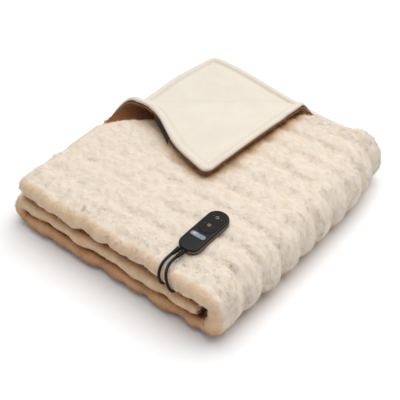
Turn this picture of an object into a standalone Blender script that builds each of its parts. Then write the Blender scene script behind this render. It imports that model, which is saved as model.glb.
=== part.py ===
"""Electric heated blanket: a long-pile throw, doubled and folded in three, with its hand control.

The cloth is doubled along the front edge (fur outside, lining inside), then folded like a letter:
top strip, right-hand fold, bottom strip, left-hand fold, middle strip. The far left corner of the
top layer is turned back over the stack. +X runs along the front, +Y to the back, Z is up.
"""

import math

import bmesh
import bpy
from mathutils import Vector

# ---- Driving dimensions, metres -------------------------------------------------------------
HALF_X = 0.231
HALF_Y = 0.2485
PILE = 0.013
PILE_PRESSED = 0.010
PILE_MIDDLE = 0.011
PILE_IN_FOLD = 0.0065
LINING = 0.002
SEAM_GAP = 0.0012
TOUCH = 0.0003

HALF_GAP = 0.0050
BOTTOM_LEVEL = PILE + HALF_GAP
MIDDLE_LEVEL = 0.0490
TOP_LEVEL = 0.0870
RIGHT_RADIUS = (TOP_LEVEL - BOTTOM_LEVEL) / 2
LEFT_RADIUS = (MIDDLE_LEVEL - BOTTOM_LEVEL) / 2
RIGHT_START = HALF_X - RIGHT_RADIUS - HALF_GAP - PILE
LEFT_START = -HALF_X + LEFT_RADIUS + HALF_GAP + PILE
TOP_HEM = -0.204
MIDDLE_END = 0.176

BACK_HEM = 0.243
FRONT_START = -HALF_Y + HALF_GAP + PILE
PLY_DEPTH = BACK_HEM - FRONT_START
NOSE_LENGTH = math.pi * HALF_GAP
RIB_COUNT = 10
RIB_PITCH = PLY_DEPTH / RIB_COUNT

# ---- The turned-back corner -----------------------------------------------------------------
FOLD_POINT = Vector((-0.1830, -0.0289))
FOLD_ANGLE = math.radians(45.2)
FOLD_ALONG = Vector((math.cos(FOLD_ANGLE), math.sin(FOLD_ANGLE)))
FOLD_OUT = Vector((-math.sin(FOLD_ANGLE), math.cos(FOLD_ANGLE)))
ROLL_RADIUS = 0.0135
ROLL_CUTS = 7
ROLL_SLACK = 0.0017
ARCH_RISE = 0.013
ARCH_WIDTH = 0.085
ARCH_REACH = 0.105
CORNER_DRAG = Vector((-0.018, -0.039))
CORNER_REACH = 0.170
LIP_WIDTH = 0.110
LIP_PEAK = 0.035
LIP_REACH = 0.045
LIP_PULL = 0.017
LIP_RISE = 0.008
HEM_ROUNDING = 0.016

# ---- Strips of the doubled cloth, in the order that the fold runs --------------------------
STRIPS = (
    # name, length, cells
    ("top", RIGHT_START - TOP_HEM, 9),
    ("right fold", math.pi * RIGHT_RADIUS, 6),
    ("bottom", RIGHT_START - LEFT_START, 4),
    ("left fold", math.pi * LEFT_RADIUS, 6),
    ("middle", MIDDLE_END - LEFT_START, 4),
)
TOP_LENGTH = STRIPS[0][1]
STRIP_STARTS = [sum(row[1] for row in STRIPS[:count]) for count in range(len(STRIPS) + 1)]
CLOTH_LENGTH = STRIP_STARTS[-1]
CLOTH_WIDTH = 2 * PLY_DEPTH + NOSE_LENGTH

# ---- Hand control ---------------------------------------------------------------------------
HANDSET_LENGTH = 0.100
HANDSET_WIDTH = 0.0385
HANDSET_PLACE = Vector((0.1185, -0.1527, 0.1091))
HANDSET_TURN = math.radians(0.5)
NEAR_ROUNDING = 0.0160
FAR_ROUNDING = 0.0178
BASE_HEIGHT = 0.0045
TRIM_HEIGHT = 0.0008
TRIM_PROUD = 0.0002
COVER_HEIGHT = 0.0052
EDGE_ROUNDING = 0.0022
PLATE_HEIGHT = 0.0010
PLATE_LENGTH = 0.0530
PLATE_WIDTH = 0.0325
PLATE_CENTRE = 0.0207
WINDOW_LENGTH = 0.0275
WINDOW_WIDTH = 0.0088
WINDOW_HEIGHT = 0.0006
WINDOW_CENTRE = -0.0162
RELIEF_LENGTH = 0.0145
RELIEF_RADIUS = 0.0040
RELIEF_TIP = 0.0030
RELIEF_RIBS = 4
RELIEF_SPREAD = 0.0048
RELIEF_OFFSET = -0.0042
RELIEF_HEIGHT = 0.0054
RELIEF_LEAN = math.radians(6.0)
RELIEF_DIP = math.radians(5.0)

# ---- Label in the seam ----------------------------------------------------------------------
LABEL_START = 0.112
LABEL_END = 0.160
LABEL_DROP = 0.0095
LABEL_THICK = 0.0008

# ---- Cords ----------------------------------------------------------------------------------
CORD = 0.0048
CORD_STEP = 2.6 * CORD
BLANKET_LEAD = (
    # x, y, z: from the left sleeve over the front edge and into the cloth of the fold
    (0.1076, -0.2186, 0.1126),
    (0.1062, -0.2310, 0.1100),
    (0.1068, -0.2428, 0.1052),
    (0.1092, -0.2508, 0.0966),
    (0.1116, -0.2526, 0.0870),
    (0.1128, -0.2492, 0.0772),
    (0.1125, -0.2395, 0.0706),
    (0.1095, -0.2250, 0.0694),
    (0.0960, -0.1900, 0.0704),
    (0.0740, -0.1520, 0.0708),
    (0.0440, -0.1200, 0.0711),
    (0.0100, -0.1000, 0.0713),
    (-0.0230, -0.0920, 0.0715),
)
MAINS_LEAD = (
    # x, y, z: from the right sleeve over the front edge, through the fold, down to the coil
    (0.1172, -0.2186, 0.1126),
    (0.1164, -0.2330, 0.1096),
    (0.1196, -0.2455, 0.1036),
    (0.1254, -0.2527, 0.0954),
    (0.1318, -0.2552, 0.0865),
    (0.1353, -0.2528, 0.0772),
    (0.1362, -0.2408, 0.0704),
    (0.1350, -0.2250, 0.0694),
    (0.1280, -0.1800, 0.0704),
    (0.1090, -0.1000, 0.0710),
    (0.0760, -0.0200, 0.0713),
    (0.0340, 0.0600, 0.0711),
    (-0.0120, 0.1350, 0.0704),
    (-0.0460, 0.1950, 0.0692),
    (-0.0620, 0.2400, 0.0686),
    (-0.0650, 0.2540, 0.0662),
    (-0.0680, 0.2640, 0.0580),
    (-0.0705, 0.2668, 0.0460),
    (-0.0735, 0.2640, 0.0330),
    (-0.0780, 0.2585, 0.0215),
    (-0.0860, 0.2515, 0.0120),
    (-0.0970, 0.2460, 0.0062),
    (-0.1100, 0.2430, 0.0042),
    (-0.1310, 0.2415, 0.0038),
)
COIL_CENTRE = Vector((-0.150, 0.2705))
COIL_MEAN = 0.048
COIL_WIDE = 3
COIL_HIGH = 2
COIL_FLOOR = 0.0014
MAINS_TAIL = (
    # x, y, z: off the coil's outer turn to the plug
    (-0.1690, 0.2415, 0.0086),
    (-0.1775, 0.2422, 0.0087),
    (-0.1862, 0.2448, 0.0088),
)
TIE_THICK = 0.0010
TIE_WIDTH = 0.0090
TIE_SIDE = math.radians(20.0)
PLUG_PLACE = Vector((-0.1996, 0.2455, 0.0088))
PLUG_LENGTH = 0.0250
PLUG_WIDTH = 0.0230
PLUG_HEIGHT = 0.0170
PIN_LENGTH = 0.0160
PIN_WIDTH = 0.0063
PIN_THICK = 0.0016
PIN_SPACING = 0.0127

FUR = ("fur", (0.80, 0.68, 0.54, 1), 0.95, 0.0)
PLUSH = ("lining", (0.87, 0.80, 0.71, 1), 0.90, 0.0)
LABEL = ("label", (0.03, 0.03, 0.03, 1), 0.75, 0.0)
SHELL = ("shell", (0.02, 0.02, 0.022, 1), 0.42, 0.0)
PLATE = ("plate", (0.015, 0.015, 0.018, 1), 0.22, 0.0)
BRASS = ("trim", (0.62, 0.45, 0.20, 1), 0.35, 1.0)
WINDOW = ("window", (0.32, 0.34, 0.40, 1), 0.15, 0.0)
CORD_BLACK = ("cord", (0.015, 0.015, 0.015, 1), 0.55, 0.0)
PIN_METAL = ("pins", (0.70, 0.62, 0.42, 1), 0.30, 1.0)


def clear_scene():
    for item in list(bpy.data.objects):
        bpy.data.objects.remove(item, do_unlink=True)


def material(spec):
    name, colour, roughness, metallic = spec
    found = bpy.data.materials.get(name)
    if found:
        return found
    made = bpy.data.materials.new(name)
    made.use_nodes = True
    shader = made.node_tree.nodes["Principled BSDF"]
    shader.inputs["Base Color"].default_value = colour
    shader.inputs["Roughness"].default_value = roughness
    shader.inputs["Metallic"].default_value = metallic
    return made


def add_object(name, data, spec, collection):
    item = bpy.data.objects.new(name, data)
    collection.objects.link(item)
    data.materials.append(material(spec))
    return item


def smooth_step(value):
    held = min(1.0, max(0.0, value))
    return held * held * (3 - 2 * held)


# ---- Folding the cloth ----------------------------------------------------------------------
def strip_place(u):
    """Middle of the doubled cloth at distance u from the top hem: x, z and the outward direction."""
    lengths = [row[1] for row in STRIPS]
    if u <= lengths[0]:
        return TOP_HEM + u, TOP_LEVEL, 0.0, 1.0
    u -= lengths[0]
    if u <= lengths[1]:
        turn = u / RIGHT_RADIUS
        out_x, out_z = math.sin(turn), math.cos(turn)
        middle = (TOP_LEVEL + BOTTOM_LEVEL) / 2
        return RIGHT_START + RIGHT_RADIUS * out_x, middle + RIGHT_RADIUS * out_z, out_x, out_z
    u -= lengths[1]
    if u <= lengths[2]:
        return RIGHT_START - u, BOTTOM_LEVEL, 0.0, -1.0
    u -= lengths[2]
    if u <= lengths[3]:
        turn = u / LEFT_RADIUS
        out_x, out_z = -math.sin(turn), -math.cos(turn)
        middle = (MIDDLE_LEVEL + BOTTOM_LEVEL) / 2
        return LEFT_START + LEFT_RADIUS * out_x, middle + LEFT_RADIUS * out_z, out_x, out_z
    u -= lengths[3]
    return LEFT_START + u, MIDDLE_LEVEL, 0.0, 1.0


def ply_place(q):
    """Across the doubled cloth at distance q from the outer back hem: y and distance outward."""
    if q <= PLY_DEPTH:
        return BACK_HEM - q, HALF_GAP
    q -= PLY_DEPTH
    if q <= NOSE_LENGTH:
        turn = q / HALF_GAP
        return FRONT_START - HALF_GAP * math.sin(turn), HALF_GAP * math.cos(turn)
    return FRONT_START + q - NOSE_LENGTH, -HALF_GAP


def fold_measures(u, q):
    """How far a point of the top layer lies beyond the turned-back corner's fold, and along it."""
    point = Vector((TOP_HEM + u, BACK_HEM - q)) - FOLD_POINT
    return point.dot(FOLD_OUT), point.dot(FOLD_ALONG)


def roll_radius(along):
    return ROLL_RADIUS + ARCH_RISE / 2 * math.exp(-((along / ARCH_WIDTH) ** 2))


def turned_corner(u, q):
    """Plan place and rise of a point on the turned-back corner."""
    beyond, along = fold_measures(u, q)
    base = FOLD_POINT + FOLD_ALONG * along
    radius = roll_radius(along)
    back = max(0.0, beyond - math.pi * radius)
    lip = math.exp(-((u / LIP_WIDTH) ** 2) - ((back - LIP_PEAK) / LIP_REACH) ** 2)
    lip *= smooth_step(beyond / (math.pi * radius))
    pull = Vector((0.0, LIP_PULL * lip))
    if back == 0:
        turn = beyond / radius
        plan = base + FOLD_OUT * (radius * math.sin(turn))
        return plan + pull, radius * (1 - math.cos(turn)) + LIP_RISE * lip
    flat_rise = 2 * ROLL_RADIUS
    rise = flat_rise + 2 * (radius - ROLL_RADIUS) * (1 - smooth_step(back / ARCH_REACH))
    drag = CORNER_DRAG * (back / CORNER_REACH) ** 1.3
    return base - FOLD_OUT * back + drag + pull, rise + LIP_RISE * lip


def loft(x, y):
    """How much higher the stack stands at a place, as a share of its height."""
    across = max(0.0, 1 - (x / HALF_X) ** 2)
    along = max(0.0, 1 - (y / HALF_Y) ** 2)
    crown = 0.045 * across**0.5 * along**0.5
    waves = 0.012 * math.sin(21 * x + 1.3) * math.sin(17 * y + 0.4) + 0.008 * math.sin(38 * x - 24 * y)
    return 1 + crown + waves


def lean(x, y, u, q):
    """Sideways unevenness of the folds and hems."""
    front = math.exp(-(((y + HALF_Y) / 0.06) ** 2))
    back = math.exp(-(((y - HALF_Y) / 0.07) ** 2))
    right = smooth_step((x - 0.14) / 0.09)
    left_hem = math.exp(-((u / 0.05) ** 2))
    lower_strips = smooth_step((u - TOP_LENGTH - 0.05) / 0.20)
    shoulder = right * (1 - smooth_step((u - TOP_LENGTH) / 0.05))
    hem_pull = 0.010 * lower_strips + 0.012 * shoulder
    if q < PLY_DEPTH:
        top_layer = smooth_step((TOP_LENGTH + 0.05 - u) / 0.10)
        hem_pull += top_layer * (0.015 + 0.013 * smooth_step((0.19 - x) / 0.11))
    else:
        second_ply = smooth_step((TOP_LENGTH + 0.05 - u) / 0.10)
        hem_pull += second_ply * (0.022 * smooth_step((u - 0.05) / 0.25) - 0.013)
    shift_y = front * (0.0022 * math.sin(31 * x + 19 * u) + 0.0012 * math.sin(83 * x + 40 * u))
    shift_y -= back * hem_pull
    shift_x = left_hem * (0.012 * smooth_step((y - 0.14) / 0.11) - 0.004 * front)
    shift_x -= right * (0.002 * (1 - math.cos(13 * y + 0.5)) + 0.024 * back)
    return shift_x, shift_y


def rounded_corner(u, q):
    """Draws the cloth's square corners in to round ones."""
    along = min(u, CLOTH_LENGTH - u)
    across = min(q, CLOTH_WIDTH - q)
    if max(along, across) >= HEM_ROUNDING:
        return u, q
    a = 1 - along / HEM_ROUNDING
    b = 1 - across / HEM_ROUNDING
    along = HEM_ROUNDING * (1 - a * math.sqrt(1 - b * b / 2))
    across = HEM_ROUNDING * (1 - b * math.sqrt(1 - a * a / 2))
    return (
        along if u < CLOTH_LENGTH / 2 else CLOTH_LENGTH - along,
        across if q < CLOTH_WIDTH / 2 else CLOTH_WIDTH - across,
    )


def folded_place(u, q):
    """Place of the backing, in the folded stack, for a point of the flat cloth with square corners."""
    y, outward = ply_place(q)
    x, z, out_x, out_z = strip_place(u)
    x += outward * out_x
    z += outward * out_z
    if u < TOP_LENGTH and q < PLY_DEPTH and fold_measures(u, q)[0] > 0:
        plan, rise = turned_corner(u, q)
        x, y = plan
        z += rise
    shift_x, shift_y = lean(x, y, u, q)
    z = PILE + (z - PILE) * loft(x, y)
    return Vector((x + shift_x, y + shift_y, z))


def backing_place(u, q):
    """Place of the cloth's backing, in the folded stack, for a point of the flat cloth."""
    return folded_place(*rounded_corner(u, q))


def facing(u, q):
    """Direction from the backing out through the pile."""
    u, q = rounded_corner(u, q)
    step = 0.0008
    along = folded_place(u + step, q) - folded_place(u - step, q)
    across = folded_place(u, q + step) - folded_place(u, q - step)
    return across.cross(along).normalized()


def pile_height(u, q):
    """Height of the pile over the backing: ribs on the outside, pressed flat inside the folds."""
    starts = STRIP_STARTS
    if q > PLY_DEPTH + 0.9 * NOSE_LENGTH:
        height = PILE_IN_FOLD if starts[1] - 0.02 < u < starts[2] + 0.02 else PILE_PRESSED
    elif fold_measures(u, q)[0] > 0 and u < TOP_LENGTH:
        height = PILE_PRESSED
    elif u >= starts[3]:
        height = PILE_MIDDLE
    elif u >= starts[2]:
        height = PILE
    else:
        towards_fold = smooth_step((u - 0.10) / 0.26)
        groove = (0.5 + 0.5 * math.cos(2 * math.pi * q / RIB_PITCH)) ** 2
        height = PILE - groove * (0.0012 + 0.0038 * towards_fold)
    edge = min(q, u, starts[-1] - u, CLOTH_WIDTH - q)
    if starts[2] <= u < starts[3] and q <= PLY_DEPTH:
        edge = 1.0
    return height * (1 - 0.45 * math.exp(-edge / 0.004))


def roll_slack(u, q):
    """The lining stands a little off the backing where the corner rolls over."""
    if u > TOP_LENGTH or q > PLY_DEPTH:
        return 0.0
    rolled = fold_measures(u, q)[0] / (math.pi * ROLL_RADIUS)
    return ROLL_SLACK * smooth_step(1 + 5 * rolled) * smooth_step(5 * (2.0 - rolled))


def spaced(start, length, cells):
    return [start + length * step / cells for step in range(1, cells + 1)]


def strip_lines(hem):
    lines = [0.0, hem]
    start = 0.0
    for _, length, cells in STRIPS:
        lines += [line for line in spaced(start, length, cells) if line > 1.5 * hem]
        start += length
    return lines


def ply_lines(outer_cells, nose_cells, inner_cells, hem):
    lines = [0.0, hem]
    lines += [line for line in spaced(0.0, PLY_DEPTH, outer_cells) if line > 1.5 * hem]
    lines += spaced(PLY_DEPTH, NOSE_LENGTH, nose_cells)
    lines += spaced(PLY_DEPTH + NOSE_LENGTH, PLY_DEPTH, inner_cells)
    return lines


def flat_cloth(across, along):
    """The flat cloth as a grid, cut along the lines where its corner rolls over."""
    cloth = bmesh.new()
    rows = [[cloth.verts.new((u, q, 0)) for q in along] for u in across]
    for low, high in zip(rows, rows[1:]):
        for a, b, c, d in zip(low, low[1:], high[1:], high):
            cloth.faces.new((a, b, c, d))
    # In the flat cloth q runs towards -Y, so the fold's normal turns with it.
    normal = Vector((FOLD_OUT.x, -FOLD_OUT.y, 0))
    start = Vector((FOLD_POINT.x - TOP_HEM, BACK_HEM - FOLD_POINT.y, 0))
    for share in [step / ROLL_CUTS for step in range(ROLL_CUTS + 1)] + [1.3]:
        top = [
            face
            for face in cloth.faces
            if max(v.co.x for v in face.verts) <= TOP_LENGTH + 1e-6
            and max(v.co.y for v in face.verts) <= PLY_DEPTH + 1e-6
        ]
        pieces = list({v for f in top for v in f.verts}) + list({e for f in top for e in f.edges}) + top
        line = start + normal * (share * math.pi * roll_radius(0.08))
        bmesh.ops.bisect_plane(cloth, geom=pieces, dist=1e-5, plane_co=line, plane_no=normal)
    bmesh.ops.remove_doubles(cloth, verts=cloth.verts, dist=2e-4)
    bmesh.ops.triangulate(cloth, faces=[f for f in cloth.faces if len(f.verts) > 4])
    return cloth


def fur_panel(collection):
    cloth = flat_cloth(strip_lines(0.007), ply_lines(3 * RIB_COUNT, 4, 6, 0.006))
    heights = []
    for vert in cloth.verts:
        u, q = vert.co.x, vert.co.y
        heights.append(pile_height(u, q))
        vert.co = backing_place(u, q)
    mesh = bpy.data.meshes.new("fur_panel")
    cloth.to_mesh(mesh)
    cloth.free()
    item = add_object("fur_panel", mesh, FUR, collection)
    group = item.vertex_groups.new(name="pile")
    for index, height in enumerate(heights):
        group.add([index], height / PILE, "REPLACE")
    solid = item.modifiers.new("pile", "SOLIDIFY")
    solid.thickness = PILE
    solid.offset = 1
    solid.vertex_group = "pile"
    solid.thickness_vertex_group = 0.0
    return item


def lining_panel(collection):
    cloth = flat_cloth(strip_lines(0.007), ply_lines(15, 4, 6, 0.006))
    for vert in cloth.verts:
        u, q = vert.co.x, vert.co.y
        middle = SEAM_GAP + LINING / 2 + roll_slack(u, q)
        vert.co = backing_place(u, q) - facing(u, q) * middle
    mesh = bpy.data.meshes.new("lining_panel")
    cloth.to_mesh(mesh)
    cloth.free()
    item = add_object("lining_panel", mesh, PLUSH, collection)
    solid = item.modifiers.new("thickness", "SOLIDIFY")
    solid.thickness = LINING
    solid.offset = 0
    return item


def seam_label(collection):
    """Blank woven label: a short strip that hangs out of the seam of the turned-back hem."""
    strip = bmesh.new()
    rows = []
    for step in range(7):
        along = LABEL_START + (LABEL_END - LABEL_START) * step / 6
        q = (BACK_HEM - FOLD_POINT.y) - along
        hem = backing_place(0.0, q)
        inward = (backing_place(0.004, q) - hem).normalized()
        down = Vector((0, 0, -1))
        near = hem - inward * 0.0022
        row = [near, near - inward * 0.0016 + down * 0.003, near - inward * 0.0022 + down * LABEL_DROP]
        rows.append([strip.verts.new(place) for place in row])
    for low, high in zip(rows, rows[1:]):
        for a, b, c, d in zip(low, low[1:], high[1:], high):
            strip.faces.new((a, b, c, d))
    mesh = bpy.data.meshes.new("seam_label")
    strip.to_mesh(mesh)
    strip.free()
    item = add_object("seam_label", mesh, LABEL, collection)
    solid = item.modifiers.new("thickness", "SOLIDIFY")
    solid.thickness = LABEL_THICK
    solid.offset = 0
    return item


# ---- Hand control ---------------------------------------------------------------------------
def rounded_outline(length, width, near, far, steps=6):
    """Points of a rounded rectangle, its long side along Y, with its own rounding at each end."""
    corners = (
        (width / 2 - near, -length / 2 + near, near, -90),
        (width / 2 - far, length / 2 - far, far, 0),
        (-width / 2 + far, length / 2 - far, far, 90),
        (-width / 2 + near, -length / 2 + near, near, 180),
    )
    points = []
    for x, y, radius, start in corners:
        for step in range(steps + 1):
            turn = math.radians(start + 90 * step / steps)
            points.append((x + radius * math.cos(turn), y + radius * math.sin(turn)))
    return points


def slab(name, outline, place, height, rounding, spec, collection):
    """A flat outline raised to a slab, its bottom at the given place, its upper edge rounded."""
    curve = bpy.data.curves.new(name, "CURVE")
    curve.dimensions = "2D"
    curve.fill_mode = "BOTH"
    curve.extrude = height / 2
    line = curve.splines.new("POLY")
    line.points.add(len(outline) - 1)
    for point, (x, y) in zip(line.points, outline):
        point.co = (x, y, 0, 1)
    line.use_cyclic_u = True
    shape = bpy.data.objects.new(name, curve)
    collection.objects.link(shape)
    bpy.context.view_layer.update()
    seen = shape.evaluated_get(bpy.context.evaluated_depsgraph_get())
    mesh = bpy.data.meshes.new_from_object(seen)
    bpy.data.objects.remove(shape, do_unlink=True)
    form = bmesh.new()
    form.from_mesh(mesh)
    bmesh.ops.remove_doubles(form, verts=form.verts, dist=1e-6)
    bmesh.ops.dissolve_limit(form, angle_limit=0.01, verts=form.verts, edges=form.edges)
    bmesh.ops.recalc_face_normals(form, faces=form.faces)
    if rounding:
        rims = [
            edge
            for edge in form.edges
            if edge.calc_face_angle(0) > 1.0 and min(v.co.z for v in edge.verts) > 0
        ]
        bmesh.ops.bevel(
            form, geom=rims, offset=rounding, offset_type="OFFSET", segments=3, profile=0.5, affect="EDGES"
        )
    form.to_mesh(mesh)
    form.free()
    mesh.name = name
    mesh.materials.clear()
    item = add_object(name, mesh, spec, collection)
    item.location = (place[0], place[1], place[2] + height / 2)
    mesh.shade_smooth()
    mesh.set_sharp_from_angle(angle=math.radians(35))
    return item


def turned(name, profile, spec, collection, steps=12, ring=False):
    """A solid turned about its own Z axis from (radius, height) points, which run down its outer side."""
    mesh = bpy.data.meshes.new(name)
    points = [(radius, 0, height) for radius, height in profile]
    edges = [(i, i + 1) for i in range(len(points) - 1)]
    if ring:
        edges.append((len(points) - 1, 0))
    mesh.from_pydata(points, edges, [])
    item = add_object(name, mesh, spec, collection)
    screw = item.modifiers.new("turn", "SCREW")
    screw.steps = steps
    screw.render_steps = steps
    screw.use_merge_vertices = True
    screw.merge_threshold = 0.00002
    return item


def relief_profile():
    """Ribbed sleeve, from its root at the top down to its tip."""
    points = [(0.0, 0.0), (RELIEF_RADIUS, 0.0)]
    pitch = RELIEF_LENGTH / (RELIEF_RIBS + 1)
    for rib in range(1, RELIEF_RIBS + 1):
        share = rib / (RELIEF_RIBS + 1)
        radius = RELIEF_RADIUS + (RELIEF_TIP - RELIEF_RADIUS) * share
        middle = -rib * pitch
        points += [(radius, middle + 0.20 * pitch), (radius - 0.0006, middle), (radius, middle - 0.20 * pitch)]
    return points + [(RELIEF_TIP, -RELIEF_LENGTH), (0.0, -RELIEF_LENGTH)]


def handset(collection):
    holder = bpy.data.objects.new("handset", None)
    collection.objects.link(holder)
    holder.location = HANDSET_PLACE
    holder.rotation_euler = (0, 0, HANDSET_TURN)
    shell = rounded_outline(HANDSET_LENGTH, HANDSET_WIDTH, NEAR_ROUNDING, FAR_ROUNDING)
    proud = 2 * TRIM_PROUD
    line = rounded_outline(HANDSET_LENGTH + proud, HANDSET_WIDTH + proud, NEAR_ROUNDING, FAR_ROUNDING)
    plate = rounded_outline(PLATE_LENGTH, PLATE_WIDTH, PLATE_WIDTH / 2 - 0.0005, FAR_ROUNDING - 0.0026)
    window = rounded_outline(WINDOW_WIDTH, WINDOW_LENGTH, WINDOW_WIDTH * 0.42, WINDOW_WIDTH * 0.42, 4)
    trim_floor = BASE_HEIGHT + TOUCH
    cover_floor = trim_floor + TRIM_HEIGHT + TOUCH
    cover_top = cover_floor + COVER_HEIGHT + TOUCH
    pieces = [
        slab("handset_cover", shell, (0, 0, cover_floor), COVER_HEIGHT, EDGE_ROUNDING, SHELL, collection),
        slab("handset_trim", line, (0, 0, trim_floor), TRIM_HEIGHT, 0, BRASS, collection),
        slab("key_plate", plate, (0, PLATE_CENTRE, cover_top), PLATE_HEIGHT, 0.0005, PLATE, collection),
        slab("display_window", window, (0, WINDOW_CENTRE, cover_top), WINDOW_HEIGHT, 0.0002, WINDOW, collection),
    ]
    base = slab("handset_base", shell, (0, 0, 0), BASE_HEIGHT, EDGE_ROUNDING, SHELL, collection)
    base.rotation_euler = (0, math.pi, 0)
    pieces.append(base)
    for name, side in (("strain_relief_left", -1), ("strain_relief_right", 1)):
        sleeve = turned(name, relief_profile(), CORD_BLACK, collection)
        sleeve.rotation_euler = (-math.pi / 2 + RELIEF_DIP, 0, -RELIEF_LEAN)
        sleeve.location = (RELIEF_OFFSET + side * RELIEF_SPREAD, -HANDSET_LENGTH / 2 - 0.0008, RELIEF_HEIGHT)
        pieces.append(sleeve)
    for piece in pieces:
        piece.parent = holder


# ---- Cords ----------------------------------------------------------------------------------
def smooth_route(points, step):
    """Evenly spaced points on the smooth curve (centripetal Catmull-Rom) through a route's points."""
    route = [Vector(point) for point in points]
    route = [2 * route[0] - route[1]] + route + [2 * route[-1] - route[-2]]
    fine = []
    for a, b, c, d in zip(route, route[1:], route[2:], route[3:]):
        t1 = (b - a).length ** 0.5
        t2 = t1 + (c - b).length ** 0.5
        t3 = t2 + (d - c).length ** 0.5
        for part in range(24):
            t = t1 + (t2 - t1) * part / 24
            ab = a * ((t1 - t) / t1) + b * (t / t1)
            bc = b * ((t2 - t) / (t2 - t1)) + c * ((t - t1) / (t2 - t1))
            cd = c * ((t3 - t) / (t3 - t2)) + d * ((t - t2) / (t3 - t2))
            abc = ab * ((t2 - t) / t2) + bc * (t / t2)
            bcd = bc * ((t3 - t) / (t3 - t1)) + cd * ((t - t1) / (t3 - t1))
            fine.append(abc * ((t2 - t) / (t2 - t1)) + bcd * ((t - t1) / (t2 - t1)))
    fine.append(Vector(points[-1]))
    lengths = [0.0]
    for a, b in zip(fine, fine[1:]):
        lengths.append(lengths[-1] + (b - a).length)
    count = max(2, round(lengths[-1] / step))
    spaced_points = []
    index = 0
    for number in range(count + 1):
        wanted = lengths[-1] * number / count
        while index < len(lengths) - 2 and lengths[index + 1] < wanted:
            index += 1
        share = (wanted - lengths[index]) / (lengths[index + 1] - lengths[index])
        spaced_points.append(fine[index].lerp(fine[index + 1], min(1.0, share)))
    return spaced_points


def cord_tube(name, points, collection):
    curve = bpy.data.curves.new(name, "CURVE")
    curve.dimensions = "3D"
    curve.bevel_depth = CORD / 2
    curve.bevel_resolution = 2
    curve.use_fill_caps = True
    places = smooth_route(points, CORD_STEP)
    line = curve.splines.new("POLY")
    line.points.add(len(places) - 1)
    for point, place in zip(line.points, places):
        point.co = (*place, 1)
    return add_object(name, curve, CORD_BLACK, collection)


def mains_coil(collection):
    wide = COIL_WIDE * CORD
    high = COIL_HIGH * CORD
    inner = (COIL_MEAN - wide) / 2
    outer = (COIL_MEAN + wide) / 2
    corner = CORD / 3
    profile = [
        (outer, high - corner),
        (outer, corner),
        (outer - corner, 0),
        (inner + corner, 0),
        (inner, corner),
        (inner, high - corner),
        (inner + corner, high),
        (outer - corner, high),
    ]
    ring = turned("mains_coil", profile, CORD_BLACK, collection, steps=28, ring=True)
    ring.location = (*COIL_CENTRE, COIL_FLOOR)


def coil_tie(collection):
    """Strap once round the coil's turns: a bar with a hole through it, bevelled."""
    gap = TOUCH
    wide = COIL_WIDE * CORD + 2 * gap
    high = COIL_HIGH * CORD + 2 * gap
    bulge = COIL_MEAN / 2 - math.sqrt((COIL_MEAN / 2) ** 2 - (TIE_WIDTH / 2) ** 2)
    wide += 2 * bulge
    strap = bmesh.new()
    loops = []
    for grow in (0.0, TIE_THICK):
        x, z = wide / 2 + grow, high / 2 + grow
        for y in (-TIE_WIDTH / 2, TIE_WIDTH / 2):
            loops.append([strap.verts.new(place) for place in ((-x, y, -z), (x, y, -z), (x, y, z), (-x, y, z))])
    inner_near, inner_far, outer_near, outer_far = loops
    for i in range(4):
        j = (i + 1) % 4
        strap.faces.new((outer_near[i], outer_near[j], outer_far[j], outer_far[i]))
        strap.faces.new((inner_near[j], inner_near[i], inner_far[i], inner_far[j]))
        strap.faces.new((outer_near[j], outer_near[i], inner_near[i], inner_near[j]))
        strap.faces.new((outer_far[i], outer_far[j], inner_far[j], inner_far[i]))
    bmesh.ops.recalc_face_normals(strap, faces=strap.faces)
    mesh = bpy.data.meshes.new("coil_tie")
    strap.to_mesh(mesh)
    strap.free()
    item = add_object("coil_tie", mesh, CORD_BLACK, collection)
    side = Vector((math.cos(TIE_SIDE), math.sin(TIE_SIDE)))
    item.location = (*(COIL_CENTRE + side * COIL_MEAN / 2), COIL_FLOOR + COIL_HIGH * CORD / 2)
    item.rotation_euler = (0, 0, TIE_SIDE)


def plug(collection):
    bpy.ops.mesh.primitive_cube_add(size=1)
    body = bpy.context.object
    body.name = "plug_body"
    body.data.name = "plug_body"
    body.data.transform(((PLUG_LENGTH, 0, 0, 0), (0, PLUG_WIDTH, 0, 0), (0, 0, PLUG_HEIGHT, 0), (0, 0, 0, 1)))
    body.data.materials.append(material(CORD_BLACK))
    body.location = PLUG_PLACE
    bevel = body.modifiers.new("rounding", "BEVEL")
    bevel.width = 0.0035
    bevel.segments = 3
    bpy.context.collection.objects.unlink(body)
    collection.objects.link(body)
    for name, side in (("plug_pin_left", -1), ("plug_pin_right", 1)):
        bpy.ops.mesh.primitive_cube_add(size=1)
        pin = bpy.context.object
        pin.name = name
        pin.data.name = name
        pin.data.transform(((PIN_LENGTH, 0, 0, 0), (0, PIN_THICK, 0, 0), (0, 0, PIN_WIDTH, 0), (0, 0, 0, 1)))
        pin.data.materials.append(material(PIN_METAL))
        reach = (PLUG_LENGTH + PIN_LENGTH) / 2 + TOUCH
        pin.location = PLUG_PLACE + Vector((-reach, side * PIN_SPACING / 2, 0))
        bevel = pin.modifiers.new("rounding", "BEVEL")
        bevel.width = 0.0004
        bevel.segments = 1
        bpy.context.collection.objects.unlink(pin)
        collection.objects.link(pin)


def main():
    clear_scene()
    parts = bpy.data.collections.new("heated_blanket")
    bpy.context.scene.collection.children.link(parts)
    fur_panel(parts)
    lining_panel(parts)
    seam_label(parts)
    handset(parts)
    cord_tube("blanket_lead", BLANKET_LEAD, parts)
    cord_tube("mains_lead", MAINS_LEAD, parts)
    cord_tube("mains_tail", MAINS_TAIL, parts)
    mains_coil(parts)
    coil_tie(parts)
    plug(parts)


main()
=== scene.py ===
import math

import bmesh
import bpy
import numpy as np
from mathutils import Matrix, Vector, noise
from mathutils.bvhtree import BVHTree


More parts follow.
